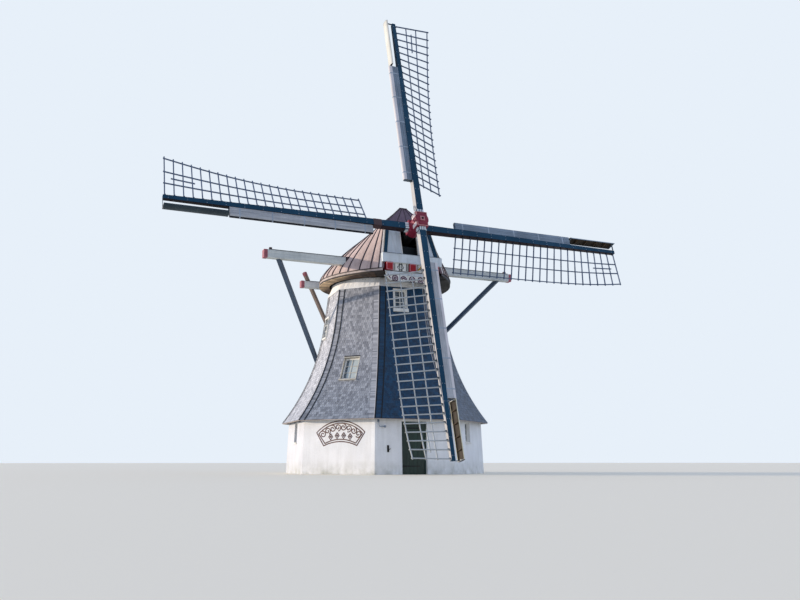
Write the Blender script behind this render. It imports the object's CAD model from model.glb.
import math

import bpy
import numpy as np
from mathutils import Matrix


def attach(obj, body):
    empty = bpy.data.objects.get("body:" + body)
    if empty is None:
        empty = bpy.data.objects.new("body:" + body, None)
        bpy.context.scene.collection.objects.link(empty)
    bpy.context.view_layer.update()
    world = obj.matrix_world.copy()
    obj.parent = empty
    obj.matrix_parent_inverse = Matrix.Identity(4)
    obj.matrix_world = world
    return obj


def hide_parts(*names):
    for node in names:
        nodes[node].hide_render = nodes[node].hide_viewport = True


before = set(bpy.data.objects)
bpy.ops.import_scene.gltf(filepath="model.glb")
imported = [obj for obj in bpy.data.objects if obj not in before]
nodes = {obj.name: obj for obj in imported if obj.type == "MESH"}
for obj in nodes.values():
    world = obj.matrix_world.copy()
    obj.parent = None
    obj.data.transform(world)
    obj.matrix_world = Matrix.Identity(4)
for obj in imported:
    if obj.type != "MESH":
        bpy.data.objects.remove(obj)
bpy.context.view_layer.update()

# Base walls: eight sides of brick with a rough lime render, washed white. They lean in a little to
# the slates, and rain has left grey runs and a greenish splash band along the ground.

SPLASH_H = 0.55


def tint(code):
    """A hexadecimal screen colour as the linear colour that a shader takes."""
    screen = np.array([int(code[i:i + 2], 16) for i in (0, 2, 4)]) / 255
    linear = np.where(screen <= 0.04045, screen / 12.92, ((screen + 0.055) / 1.055) ** 2.4)
    return (*linear.tolist(), 1.0)


def connect(tree, node, inputs):
    """Sets a node's sockets, by name or number, to values or to the outputs of other nodes."""
    for socket, value in inputs.items():
        if isinstance(value, bpy.types.NodeSocket):
            tree.links.new(value, node.inputs[socket])
        else:
            node.inputs[socket].default_value = value


def add_node(tree, kind, inputs=None, **settings):
    """One shader node with its settings and its inputs."""
    made = tree.nodes.new("ShaderNode" + kind)
    for name, value in settings.items():
        setattr(made, name, value)
    connect(tree, made, inputs or {})
    return made


def mixed(tree, share, a, b, blend="MIX"):
    """Colour a turned into b by share."""
    return add_node(tree, "Mix", {0: share, 6: a, 7: b}, data_type="RGBA", blend_type=blend).outputs[2]


def ranged(tree, value, low, high, to_low=0.0, to_high=1.0):
    """A value from low to high carried over to the range from to_low to to_high."""
    return add_node(tree, "MapRange", {0: value, 1: low, 2: high, 3: to_low, 4: to_high}).outputs[0]


def noise(tree, vector, scale, detail=4.0, low=0.35, high=0.65):
    """Noise stretched so that low gives 0 and high gives 1."""
    cloud = add_node(tree, "TexNoise", {"Vector": vector, "Scale": scale, "Detail": detail})
    return ranged(tree, cloud.outputs[0], low, high)


def stretched(tree, vector, factors):
    """A vector with each part multiplied by its own factor."""
    return add_node(tree, "VectorMath", {0: vector, 1: factors}, operation="MULTIPLY").outputs[0]


def sums(tree, a, b, operation="MULTIPLY"):
    return add_node(tree, "Math", {0: a, 1: b}, operation=operation).outputs[0]


def bumped(tree, height, distance, strength=1.0, **settings):
    """Normals of a fine relief with the given height."""
    inputs = {"Height": height, "Distance": distance, "Strength": strength}
    return add_node(tree, "Bump", inputs, **settings).outputs[0]


def along_axis(tree, place, axis, low, high):
    """0 to 1 over a span of one of the object's axes."""
    return ranged(tree, add_node(tree, "SeparateXYZ", {0: place}).outputs[axis], low, high)


def attribute(tree, name, output="Fac"):
    return add_node(tree, "Attribute", attribute_name=name).outputs[output]


def effect(name, inputs, outputs):
    """A shader node group with named sockets, and the nodes inside that carry them."""
    group = bpy.data.node_groups.new(name, "ShaderNodeTree")
    for way, sockets in (("INPUT", inputs), ("OUTPUT", outputs)):
        for socket, kind in sockets.items():
            group.interface.new_socket(socket, in_out=way, socket_type="NodeSocket" + kind)
    return group, group.nodes.new("NodeGroupInput").outputs, group.nodes.new("NodeGroupOutput").inputs


def weather_effect():
    """Ageing of an outdoor surface: broad patches, rain runs down Z, and specks, in one stain colour.
    Height is a fine unevenness for bump."""
    group, given, result = effect(
        "weather", {"Vector": "Vector", "Colour": "Color", "Stain": "Color", "Patches": "Float",
                    "Runs": "Float", "Specks": "Float"}, {"Colour": "Color", "Height": "Float"})
    place = given["Vector"]
    patch = noise(group, place, 1.1, 6.0)
    runs = noise(group, stretched(group, place, (7.0, 7.0, 0.5)), 1.0, 5.0, 0.45, 0.75)
    speck = noise(group, place, 38.0, 3.0, 0.55, 0.72)
    shade = mixed(group, sums(group, patch, given["Patches"]), given["Colour"], tint("a8a8a8"), "MULTIPLY")
    shade = mixed(group, sums(group, runs, given["Runs"]), shade, given["Stain"])
    shade = mixed(group, sums(group, speck, given["Specks"]), shade, given["Stain"])
    group.links.new(shade, result["Colour"])
    group.links.new(sums(group, sums(group, speck, 0.5), patch, "ADD"), result["Height"])
    return group


def grain_effect():
    """Wood fibres: noise drawn out along one direction by Stretch, fine over broad, darkening a
    colour. Height follows the fibres for bump."""
    group, given, result = effect(
        "grain", {"Vector": "Vector", "Stretch": "Vector", "Colour": "Color", "Dark": "Color",
                  "Amount": "Float"}, {"Colour": "Color", "Height": "Float"})
    along = stretched(group, given["Vector"], given["Stretch"])
    fine = noise(group, along, 1.0, 6.0)
    broad = noise(group, along, 0.16, 3.0)
    share = sums(group, sums(group, fine, 0.6), sums(group, broad, 0.4), "ADD")
    shade = mixed(group, sums(group, share, given["Amount"]), given["Colour"], given["Dark"])
    group.links.new(shade, result["Colour"])
    group.links.new(share, result["Height"])
    return group


WEATHER = weather_effect()
GRAIN = grain_effect()
FIBRES = {"x": (1.5, 45.0, 45.0), "y": (45.0, 1.5, 45.0), "z": (45.0, 45.0, 1.5),
          "board": (1.5, 45.0, 45.0)}


def new_finish(name):
    """A new material, its nodes, its surface shader and the object's own coordinates."""
    material = bpy.data.materials.new(name)
    material.use_nodes = True
    tree = material.node_tree
    return material, tree, tree.nodes["Principled BSDF"], add_node(tree, "TexCoord").outputs["Object"]


def weathered(tree, place, shade, stain, patches, runs, specks):
    """Outputs of the weather effect placed in a material."""
    inputs = {"Vector": place, "Colour": shade, "Stain": tint(stain), "Patches": patches, "Runs": runs,
              "Specks": specks}
    return add_node(tree, "Group", inputs, node_tree=WEATHER).outputs


def finish(name, colour, stain, roughness=0.6, patches=0.4, runs=0.3, specks=0.1, grain=0.0,
           dark="3a3a3a", along="board", tones=0.0, bump=0.003, metallic=0.0, specular=0.5):
    """A weathered material: a colour, wood fibres under it where grain is over 0, then the weather.
    Fibres follow an axis of the object, or each board's own length from its attribute board, and
    tones darkens single boards by their attribute tone."""
    material, tree, surface, place = new_finish(name)
    shade = tint(colour)
    height = None
    if grain:
        way = attribute(tree, "board", "Vector") if along == "board" else place
        inputs = {"Vector": way, "Stretch": FIBRES[along], "Colour": shade, "Dark": tint(dark),
                  "Amount": grain}
        fibres = add_node(tree, "Group", inputs, node_tree=GRAIN).outputs
        shade, height = fibres["Colour"], fibres["Height"]
    if tones:
        shade = mixed(tree, sums(tree, attribute(tree, "tone"), tones), shade, tint("6a6a6a"), "MULTIPLY")
    worn = weathered(tree, place, shade, stain, patches, runs, specks)
    rise = worn["Height"] if height is None else sums(tree, worn["Height"], height, "ADD")
    rough = ranged(tree, worn["Height"], 0.0, 1.5, roughness - 0.08, min(roughness + 0.12, 1.0))
    connect(tree, surface, {"Base Color": worn["Colour"], "Roughness": rough, "Metallic": metallic,
                            "Specular IOR Level": specular, "Normal": bumped(tree, rise, bump, 0.6)})
    return material


def overlaid(material, share, colour, blend="MIX"):
    """A finished material with one more colour over its own, by a share."""
    tree = material.node_tree
    base = tree.nodes["Principled BSDF"].inputs["Base Color"]
    tree.links.new(mixed(tree, share, base.links[0].from_socket, tint(colour), blend), base)
    return material


def limewash(name, colour):
    """White render: weathered wash over a trowelled coat, with a splash band that fades up from the
    ground by height Z."""
    material = finish(name, colour, "bdb8ac", 0.85, patches=0.16, runs=0.22, specks=0.2, bump=0.012)
    tree = material.node_tree
    place = add_node(tree, "TexCoord").outputs["Object"]
    low = along_axis(tree, place, 2, SPLASH_H, 0.0)
    splash = sums(tree, sums(tree, low, noise(tree, place, 3.0, 6.0, 0.3, 0.7)), 0.75)
    return overlaid(material, splash, "9a9a84")


def dress(material, *names):
    """Gives CAD nodes a material."""
    for name in names:
        for slot in nodes[name].material_slots:
            slot.material = material


GREY_SIDES = ["base_wall_left", "base_wall_left_back", "base_wall_back"]
base_sides = [name for name in nodes if name.startswith(("base_wall", "base_lintel"))]
dress(limewash("limewash", "f6f4ef"), *[name for name in base_sides if name not in GREY_SIDES])
dress(limewash("limewash_greyed", "cfd1d5"), *GREY_SIDES)

# Scroll panel: a fan-shaped ornament painted in brown on the left front side, a double border with
# curls and lozenges inside. The lines are a slight relief, laid on with thick paint.

TURN = math.radians(-5.1)
K = math.cos(math.pi / 8)
BASE_R, BASE_TOP_R, BASE_H = 4.30, 4.18, 2.15
PANEL_SIDE, PANEL_X = 7, 0.08
rng = np.random.default_rng(11)


def face_axes(k):
    """Rows: to the right, outwards and up, on tower side k counted counter-clockwise from the front."""
    a = TURN + k * math.pi / 4
    return np.array([[math.cos(a), math.sin(a), 0.0], [math.sin(a), -math.cos(a), 0.0], [0.0, 0.0, 1.0]])


def on_face(k, right, out, up):
    """Points of side k from their distance to the right, distance from the axis and height."""
    return np.stack(np.broadcast_arrays(right, out, up), axis=-1) @ face_axes(k)


def unit(v):
    return v / np.linalg.norm(v, axis=-1, keepdims=True)


def loft(rings):
    """A closed solid through rings (n, m, 3) with flat ends. Its winding is set by the sign of its
    volume, the sum of p0 . (p1 x p2) over its faces."""
    rings = np.asarray(rings, float)
    n, m = rings.shape[:2]
    i, j = np.meshgrid(np.arange(n - 1), np.arange(m), indexing="ij")
    a, b = i * m + j, i * m + (j + 1) % m
    quads = np.stack([a, b, b + m, a + m], -1).reshape(-1, 4)
    ends = [list(range(m - 1, -1, -1)), list(range((n - 1) * m, n * m))]
    flat = rings.reshape(-1, 3)
    centre = flat.mean(0)
    p = flat[quads] - centre
    volume = np.einsum("ni,ni->", p[:, 0], np.cross(p[:, 1], p[:, 2]) + np.cross(p[:, 2], p[:, 3]))
    for end in ends:
        q = flat[end] - centre
        volume += np.einsum("i,ni->", q[0], np.cross(q[1:-1], q[2:]))
    faces = quads.tolist() + ends
    if volume < 0:
        faces = [face[::-1] for face in faces]
    middles = rings.mean(1)
    along = np.concatenate([[0], np.linalg.norm(np.diff(middles, axis=0), axis=1).cumsum()])
    way = unit(middles[-1] - middles[0] + 1e-9)
    across = unit(np.cross(way, [0.31, 0.17, 0.93]))
    board = np.stack([np.repeat(along, m), flat @ across, flat @ np.cross(way, across)], -1)
    board = board + rng.uniform(0, 40, 3)
    return flat, faces, board, np.full(len(flat), rng.uniform(0, 1))


def swept(path, section, up, scale=1.0):
    """A section (m, 2) carried along a path (n, 3): its first part lies across the path, its second
    towards up, and scale sizes it at each point."""
    path = np.asarray(path, float)
    way = unit(np.gradient(path, axis=0))
    side = unit(np.cross(way, np.broadcast_to(up, path.shape)))
    rise = np.cross(side, way)
    section = np.asarray(section, float) * np.reshape(scale, (-1, 1, 1))
    return loft(path[:, None] + section[..., :1] * side[:, None] + section[..., 1:] * rise[:, None])


def piece(name, parts, material, body, smooth=None, bevel=0.0, stands_for=(), marks=None):
    """One object from solids made by blocks() and loft(). smooth is the angle under which edges are
    shaded round, bevel rounds every edge, and marks are further attributes of the points."""
    counts = np.cumsum([0] + [len(part[0]) for part in parts])
    faces = [[v + start for v in face] for part, start in zip(parts, counts) for face in part[1]]
    mesh = bpy.data.meshes.new(name)
    mesh.from_pydata(np.concatenate([part[0] for part in parts]).tolist(), [], faces)
    board = np.concatenate([part[2] for part in parts]).astype(np.float32)
    mesh.attributes.new("board", "FLOAT_VECTOR", "POINT").data.foreach_set("vector", board.ravel())
    values = {"tone": np.concatenate([part[3] for part in parts]), **(marks or {})}
    for label, value in values.items():
        mesh.attributes.new(label, "FLOAT", "POINT").data.foreach_set("value", value.astype(np.float32))
    mesh.materials.append(material)
    if smooth:
        mesh.shade_smooth()
        mesh.set_sharp_from_angle(angle=math.radians(smooth))
    made = bpy.data.objects.new(name, mesh)
    bpy.context.scene.collection.objects.link(made)
    if bevel:
        edge = made.modifiers.new("rounded_edges", "BEVEL")
        edge.width = bevel
        edge.segments = 2
    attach(made, body)
    if stands_for:
        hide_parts(*stands_for)
    return made


def base_out(z):
    """Distance of the rendered wall's sides from the axis at height z."""
    return (BASE_R + (BASE_TOP_R - BASE_R) * np.asarray(z) / BASE_H) * K


def curl(x, z, size, turns, start):
    """A spiral in a wall's plane: radius size (1 - 0.8 t), angle start + turns t."""
    t = np.linspace(0, 1, 20)
    a = start + 2 * math.pi * turns * t
    r = size * (1 - 0.8 * t)
    return np.stack([x + r * np.cos(a), z + r * np.sin(a)], -1)


def arch(half, top, rise, count=22):
    """An arc of a circle over a chord of width 2 half, its crown at height top."""
    radius = (half ** 2 + rise ** 2) / (2 * rise)
    a = np.linspace(-1, 1, count) * math.asin(half / radius)
    return np.stack([radius * np.sin(a), top - radius + radius * np.cos(a)], -1)


def scroll_panel():
    """Border lines, curls and lozenges of the fan, as paths in the wall's plane."""
    paths = []
    for inset in (0.0, 0.09):
        upper = arch(1.09 - 1.1 * inset, 2.09 - inset, 0.45 - 0.5 * inset)
        lower = arch(0.75 - 0.6 * inset, 1.28 + inset, 0.16, 14)
        paths += [upper, lower, np.array([upper[0], lower[0]]), np.array([upper[-1], lower[-1]])]
    for i, (x, z) in enumerate(arch(0.80, 1.84, 0.27, 8)):
        hand = 1 if i % 2 else -1
        paths.append(curl(x, z, 0.145, 1.35 * hand, -hand * math.pi / 2 - x))
    for middle in arch(0.44, 1.52, 0.05, 4):
        for half_w, half_h in ((0.09, 0.12), (0.03, 0.035)):
            paths.append(middle + np.array([[0, 1], [1, 0], [0, -1], [-1, 0], [0, 1]]) * [half_w, half_h])
    return paths


brush = np.array([[-0.022, 0.0], [-0.015, 0.009], [0.015, 0.009], [0.022, 0.0], [0.0, -0.004]])
lines = [swept(on_face(PANEL_SIDE, PANEL_X + x, base_out(z), z), brush, face_axes(PANEL_SIDE)[1])
         for x, z in (path.T for path in scroll_panel())]
piece("wall_scrolls", lines, finish("brown_lines", "6a4a3e", "45322c", 0.7, specks=0.3), "tower")

# Fittings on the front wall: a bent tube bracket under the slates, and the iron hold-back for the
# door, a plate with a forged hook.

GALVANISED = finish("galvanised", "9aa7b8", "6d747c", 0.45, patches=0.5, specks=0.3, metallic=0.6)
IRON = finish("black_iron", "22262a", "4a3a30", 0.5, patches=0.5, specks=0.25, metallic=0.7)
BOX_SIDES = np.array([[0, 3, 2, 1], [4, 5, 6, 7], [0, 1, 5, 4], [1, 2, 6, 5], [2, 3, 7, 6], [3, 0, 4, 7]])
SWAP_SIDES = [1, 0, 3, 2, 5, 4, 7, 6]


def blocks(corners):
    """Many closed boxes, corners (n, 8, 3): four round one end, then the four over them. A
    left-handed box is mirrored so that its faces point out. The attribute board runs along the
    box's longest edge first."""
    corners = np.asarray(corners, float).reshape(-1, 8, 3)
    edges = corners[:, [1, 3, 4]] - corners[:, :1]
    left_handed = np.einsum("ni,ni->n", np.cross(edges[:, 0], edges[:, 1]), edges[:, 2]) < 0
    corners[left_handed] = corners[left_handed][:, SWAP_SIDES]
    sizes = np.linalg.norm(edges, axis=-1)
    order = np.argsort(-sizes, axis=1)
    axes = np.take_along_axis(edges / np.maximum(sizes, 1e-9)[..., None], order[..., None], axis=1)
    board = np.einsum("npi,nai->npa", corners - corners[:, :1], axes)
    board += rng.uniform(0, 40, (len(corners), 1, 3))
    tone = np.repeat(rng.uniform(0, 1, len(corners)), 8)
    faces = (np.arange(len(corners))[:, None, None] * 8 + BOX_SIDES).reshape(-1, 4)
    return corners.reshape(-1, 3), faces.tolist(), board.reshape(-1, 3), tone


def ranges(x0, x1, y0, y1, z0, z1):
    """Corners of boxes from their ranges along three axes, for blocks()."""
    x0, x1, y0, y1, z0, z1 = np.broadcast_arrays(*np.atleast_1d(x0, x1, y0, y1, z0, z1))
    around = ((x0, y0), (x1, y0), (x1, y1), (x0, y1))
    return np.stack([np.stack([x, y, z], -1) for z in (z0, z1) for x, y in around], axis=1).astype(float)


def round_section(radius, sides=10):
    a = np.arange(sides) * 2 * math.pi / sides
    return np.stack([np.cos(a), np.sin(a)], -1) * radius


def front_wall(points):
    """Points given as right, distance in front of the wall, and height."""
    x, y, z = np.moveaxis(np.asarray(points, float), -1, 0)
    return on_face(0, x, base_out(z) + y, z)


bracket = front_wall([[-1.47, 0.03, 2.12], [-1.47, 0.05, 2.0], [-1.47, 0.06, 1.90], [-1.45, 0.07, 1.86],
                      [-1.40, 0.07, 1.85], [-1.30, 0.07, 1.85], [-1.21, 0.07, 1.85]])
plates = ranges([-1.51, -1.24], [-1.43, -1.18], 0.0, [0.02, 0.055], [2.02, 1.81], [2.12, 1.89])
fittings = [swept(bracket, round_section(0.017, 12), face_axes(0)[1]), blocks(front_wall(plates))]
piece("wall_bracket", fittings, GALVANISED, "tower", smooth=40)
hook = front_wall([[-1.09, 0.015, 1.09], [-1.09, 0.07, 1.08], [-1.09, 0.085, 1.03], [-1.09, 0.06, 0.98],
                   [-1.06, 0.05, 0.95], [-1.03, 0.06, 0.98], [-1.03, 0.07, 1.01]])
hook_plate = front_wall(ranges(-1.13, -1.05, 0.0, 0.014, 0.86, 1.13))
piece("door_hook", [swept(hook, round_section(0.013, 8), (1.0, 0.0, 0.0)), blocks(hook_plate)], IRON,
      "tower", smooth=40)

# Doors: dark green leaves of upright boards on three ledges, hung on long iron straps whose knuckles
# sit on pins in the jamb, with a rim lock and a ring handle. The frames are the same green, and the
# back doorway has the same leaf.

GREEN = finish("green_boards", "173a30", "0d201b", 0.42, patches=0.5, runs=0.35, specks=0.12, grain=0.35,
               dark="0a1d18", tones=0.35)
LEAF_OUT, LEAF_BACK, LEAF_HALF, LEAF_Z = 3.80, 3.75, 0.464, (0.046, 2.004)
LEDGE_Z, STRAP_Z, LOCK_Z = np.array([0.22, 0.95, 1.70]), np.array([0.30, 1.78]), (1.0, 1.18)
PIN_X, PIN_OUT, RING_X, RING_Z, RING_R = -0.467, 3.817, 0.36, 1.06, 0.038
dress(finish("green_frames", "173a30", "0d201b", 0.42, patches=0.5, runs=0.35, grain=0.3, dark="0a1d18",
             along="z"), "door_frames")


def to_face(k, corners):
    """Corners given as right, out, up, put on side k."""
    return corners @ face_axes(k)


def door_leaf(k, name, body):
    """Six boards side by side, ledges behind them, and the iron on their front."""
    edges = np.linspace(-LEAF_HALF, LEAF_HALF, 7)
    boards = ranges(edges[:-1] + 0.002, edges[1:] - 0.002, LEAF_BACK + 0.018, LEAF_OUT, *LEAF_Z)
    ledges = ranges(-LEAF_HALF + 0.03, LEAF_HALF - 0.03, LEAF_BACK, LEAF_BACK + 0.02, LEDGE_Z,
                    LEDGE_Z + 0.13)
    piece(name + "_leaf", [blocks(to_face(k, boards)), blocks(to_face(k, ledges))], GREEN, body,
          bevel=0.005, stands_for=[name])
    bolt_x = np.linspace(-LEAF_HALF + 0.05, 0.22, 6)
    iron = [ranges(-LEAF_HALF, -0.164, LEAF_OUT, LEAF_OUT + 0.012, STRAP_Z, STRAP_Z + 0.045),
            ranges(-0.17, 0.26, LEAF_OUT, LEAF_OUT + 0.006, STRAP_Z + 0.004, STRAP_Z + 0.041),
            ranges(0.30, 0.42, LEAF_OUT, LEAF_OUT + 0.012, *LOCK_Z)]
    iron += [ranges(bolt_x - 0.008, bolt_x + 0.008, LEAF_OUT + 0.006, LEAF_OUT + 0.017, z + 0.015,
                    z + 0.031) for z in STRAP_Z]
    knuckles = [swept(on_face(k, PIN_X, PIN_OUT, z + np.array([0.0, 0.02, 0.046])),
                      round_section(0.011, 20), face_axes(k)[0]) for z in STRAP_Z]
    a = np.linspace(0, 2 * math.pi, 17)
    ring = on_face(k, RING_X + RING_R * np.sin(a), LEAF_OUT + 0.022, RING_Z + RING_R * np.cos(a))
    parts = [blocks(to_face(k, c)) for c in iron]
    parts += knuckles + [swept(ring, round_section(0.006, 8), face_axes(k)[1])]
    piece(name + "_iron", parts, IRON, body, smooth=35)


door_leaf(0, "front_door", "front_door")
door_leaf(4, "back_door", "tower")

# Windows of the base: painted frames set back in the wall, each with two by three panes between
# thin bars, over a sloping sill of white stone.

WHITE_PAINT = finish("white_paint", "efece2", "a49a86", 0.5, patches=0.2, runs=0.3, specks=0.15, grain=0.12,
                     dark="b9b2a0")
FRAME_WHITE = finish("white_frame_paint", "efece2", "a49a86", 0.5, patches=0.2, runs=0.3, specks=0.15)
dress(FRAME_WHITE, "base_window_frames", "smock_window_frames")
FRAME_W, SILL_HALF, SILL_Z = 0.06, 0.31, 1.28
BASE_WINDOW_W, BASE_WINDOW_H, BASE_WINDOW_Z = 0.52, 0.82, 1.70
BASE_WINDOW_OUT = BASE_TOP_R * K - 0.09


def glass():
    """Old window glass: clear, slightly wavy, with a pale film of dust in its noise."""
    material, tree, surface, place = new_finish("window_glass")
    film = noise(tree, place, 2.5, 5.0)
    waves = bumped(tree, noise(tree, place, 6.0, 1.0), 0.004)
    connect(tree, surface, {"Base Color": mixed(tree, film, tint("7f93a3"), tint("a9b7c0")), "IOR": 1.45,
                            "Roughness": ranged(tree, film, 0.0, 1.0, 0.04, 0.18), "Normal": waves,
                            "Transmission Weight": 0.75})
    return material


dress(glass(), "window_panes")


def glazing(width, height, bar=0.024, depth=0.034, columns=2, rows=3):
    """Bars between the panes, in the window's own frame: right, out from the frame's front, up."""
    half_w, half_h = width / 2 - FRAME_W, height / 2 - FRAME_W
    x = np.linspace(-half_w, half_w, columns + 1)[1:-1]
    z = np.linspace(-half_h, half_h, rows + 1)[1:-1]
    upright = ranges(x - bar / 2, x + bar / 2, -depth, -0.006, -half_h, half_h)
    level = ranges(-half_w, half_w, -depth + 0.004, -0.01, z - bar / 2, z + bar / 2)
    return [upright, level]


def base_windows():
    """Glazing bars and a sloping sill for each of the four windows."""
    parts = []
    centre = np.array([0.0, BASE_WINDOW_OUT, BASE_WINDOW_Z])
    for k in (1, 2, 5, 6):
        bars = glazing(BASE_WINDOW_W, BASE_WINDOW_H)
        parts += [blocks(to_face(k, corners + centre)) for corners in bars]
        sill = ranges(-SILL_HALF, SILL_HALF, BASE_WINDOW_OUT - 0.04, base_out(SILL_Z) + 0.045,
                      SILL_Z - 0.045, SILL_Z + 0.007)
        sill[:, [4, 7], 2] += 0.02
        sill[:, [4, 5], 2] += 0.012
        parts.append(blocks(to_face(k, sill)))
    return parts


piece("base_window_bars", base_windows(), WHITE_PAINT, "tower", bevel=0.004)

# Floors: worn bricks on sand at ground level, and wide boards on the two upper floors, all seen
# only through the doorway and the windows.


def brick_floor():
    """Bricks 0.21 by 0.10 m in a running pattern, worn to different reds and greys."""
    material, tree, surface, place = new_finish("floor_bricks")
    bricks = add_node(tree, "TexBrick", {
        "Vector": place, "Color1": tint("8d7466"), "Color2": tint("756a60"), "Mortar": tint("57524b"),
        "Scale": 1.0, "Mortar Size": 0.006, "Brick Width": 0.21, "Row Height": 0.10}).outputs
    worn = mixed(tree, noise(tree, place, 4.0, 6.0), bricks["Color"], tint("a29a8e"), "MULTIPLY")
    dents = bumped(tree, bricks["Fac"], 0.004, invert=True)
    connect(tree, surface, {"Base Color": worn, "Normal": dents, "Roughness": 0.85})
    return material


dress(brick_floor(), "ground_floor")
INNER_TIMBER = finish("inner_timber", "6d5a44", "3a3026", 0.75, grain=0.6, dark="3d3022", along="x",
                      bump=0.004)
dress(INNER_TIMBER, "first_floor", "upper_floor")

# Smock: eight curving timber sides boarded over and hung with small slates, laid half over one
# another in rows. Each side has a strip of narrow courses along both edges, and dark lead covers
# the corner and the joint beside it. The sides towards the weather have faded to pale grey.

SMOCK_LOW_R, SMOCK_HIGH_R, SMOCK_TOP, BEND_Z = 4.47, 2.47, 7.70, 6.40
TOP_SLOPE = math.radians(7.9)
BEND_R = SMOCK_HIGH_R + (SMOCK_TOP - BEND_Z) * math.tan(TOP_SLOPE)
ARC_H, ARC_OUT = BEND_Z - BASE_H, SMOCK_LOW_R - BEND_R
ARC_TURN = 2 * (math.atan(ARC_OUT / ARC_H) - TOP_SLOPE)
ARC_R = math.hypot(ARC_H, ARC_OUT) / 2 / math.sin(ARC_TURN / 2)
FADE = (0.0, 0.42, 0.5, 0.5, 0.55, 0.8, 1.6, 1.05)
LOW_WINDOW, HIGH_WINDOW = (0.69, 1.00, 4.25, 0.0), (0.52, 0.82, 7.17, -0.065)


def smock_slope(z):
    """Lean of the smock from upright: the top slope, then an arc that meets it at BEND_Z."""
    z = np.asarray(z, float)
    return np.arcsin(math.sin(TOP_SLOPE) + np.maximum(BEND_Z - z, 0) / ARC_R)


def smock_out(z):
    """Distance of the smock's sides from the axis at height z."""
    z = np.asarray(z, float)
    upper = SMOCK_HIGH_R + (SMOCK_TOP - z) * math.tan(TOP_SLOPE)
    lower = BEND_R + ARC_R * (math.cos(TOP_SLOPE) - np.cos(smock_slope(z)))
    return np.where(z >= BEND_Z, upper, lower) * K


drop_z = np.linspace(SMOCK_TOP, BASE_H, 400)
drop_s = np.concatenate([[0], np.hypot(np.diff(drop_z), np.diff(smock_out(drop_z))).cumsum()])


def height_at(s):
    """Height of the point s metres down the smock's side from its top edge."""
    return np.interp(s, drop_s, drop_z)


def lifted(k, x, s, lift):
    """Points on side k: x to the right, s down the side, lift off it along its normal."""
    z = height_at(s)
    slope = smock_slope(z)
    return on_face(k, x, smock_out(z) + lift * np.cos(slope), z + lift * np.sin(slope))


def half_width(s):
    """Half the side's width s metres down it."""
    return smock_out(height_at(s)) * math.tan(math.pi / 8)


def slates(k, left, right, pitch, exposure, window=None, half_bond=True):
    """Corners of slates in rows down side k. Row j ends at (j + 1) * exposure from the top, and
    each second row is shifted by half a slate. left and right give the field's edges from the
    side's half-width, and window is cut out as (half-width, half-height, middle down the side,
    middle to the right)."""
    rows = math.ceil(drop_s[-1] / exposure)
    reach = int(2.0 / pitch) + 1
    j, i = np.meshgrid(np.arange(rows), np.arange(-reach, reach + 1), indexing="ij")
    low = np.minimum((j + 1) * exposure, drop_s[-1] + 0.01) + rng.uniform(-0.004, 0.004, j.shape)
    high = np.maximum(low - exposure * 1.35, 0)
    x0 = (i + (0.5 * (j % 2) if half_bond else 0)) * pitch + rng.uniform(0.002, 0.006, j.shape)
    x1 = x0 + pitch - rng.uniform(0.006, 0.012, j.shape)
    if window:
        beside = np.abs(low - exposure / 2 - window[2]) < window[1]
        right_of = (x0 + x1) / 2 > window[3]
        x1 = np.where(beside & ~right_of, np.minimum(x1, window[3] - window[0]), x1)
        x0 = np.where(beside & right_of, np.maximum(x0, window[3] + window[0]), x0)
    (l0, l1), (h0, h1) = [[np.clip(x, left(half), right(half)) for x in (x0, x1)]
                          for half in (half_width(low), half_width(high))]
    kept = (l1 - l0 > 0.012) & (x1 - x0 > 0.012)
    tilt = rng.uniform(0.0, 0.003, j.shape)
    around = ((l0, low, 0.013 + tilt), (l1, low, 0.015 - tilt), (h1, high, 0.004), (h0, high, 0.004))
    return np.stack([lifted(k, x, s, lift + thick)[kept] for thick in (0.0, 0.007)
                     for x, s, lift in around], axis=1)


def slate_finish():
    """Slates: navy, faded to pale grey by the attribute fade, lower down less so, and bleached where
    it is over 1, each slate of its own tone, with a soft gloss and a split surface."""
    material, tree, surface, place = new_finish("slates")
    fade = attribute(tree, "fade")
    grey = mixed(tree, along_axis(tree, place, 2, 5.6, 2.6), tint("a9aaae"), tint("979da5"))
    shade = mixed(tree, fade, tint("0a4468"), grey)
    shade = mixed(tree, ranged(tree, fade, 1.0, 2.0), shade, tint("e6e6ea"))
    shade = mixed(tree, sums(tree, attribute(tree, "tone"), 0.75), shade, tint("8b8e96"), "MULTIPLY")
    worn = weathered(tree, place, shade, "5b6573", 0.12, 0.08, 0.08)
    split = noise(tree, place, 24.0, 6.0)
    connect(tree, surface, {"Base Color": worn["Colour"], "Normal": bumped(tree, split, 0.002, 0.7),
                            "Roughness": ranged(tree, split, 0.0, 1.0, 0.45, 0.7)})
    return material


def strip(k, inner, outer, high=0.030):
    """A flat strip down side k between two edges, given from the half-width and closed all round."""
    s = np.linspace(0.0, drop_s[-1] - 0.002, 26)
    around = ((inner, 0.001), (outer, 0.001), (outer, high), (inner, high))
    return loft(np.stack([lifted(k, edge(half_width(s)), s, lift) for edge, lift in around], axis=1))


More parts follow.
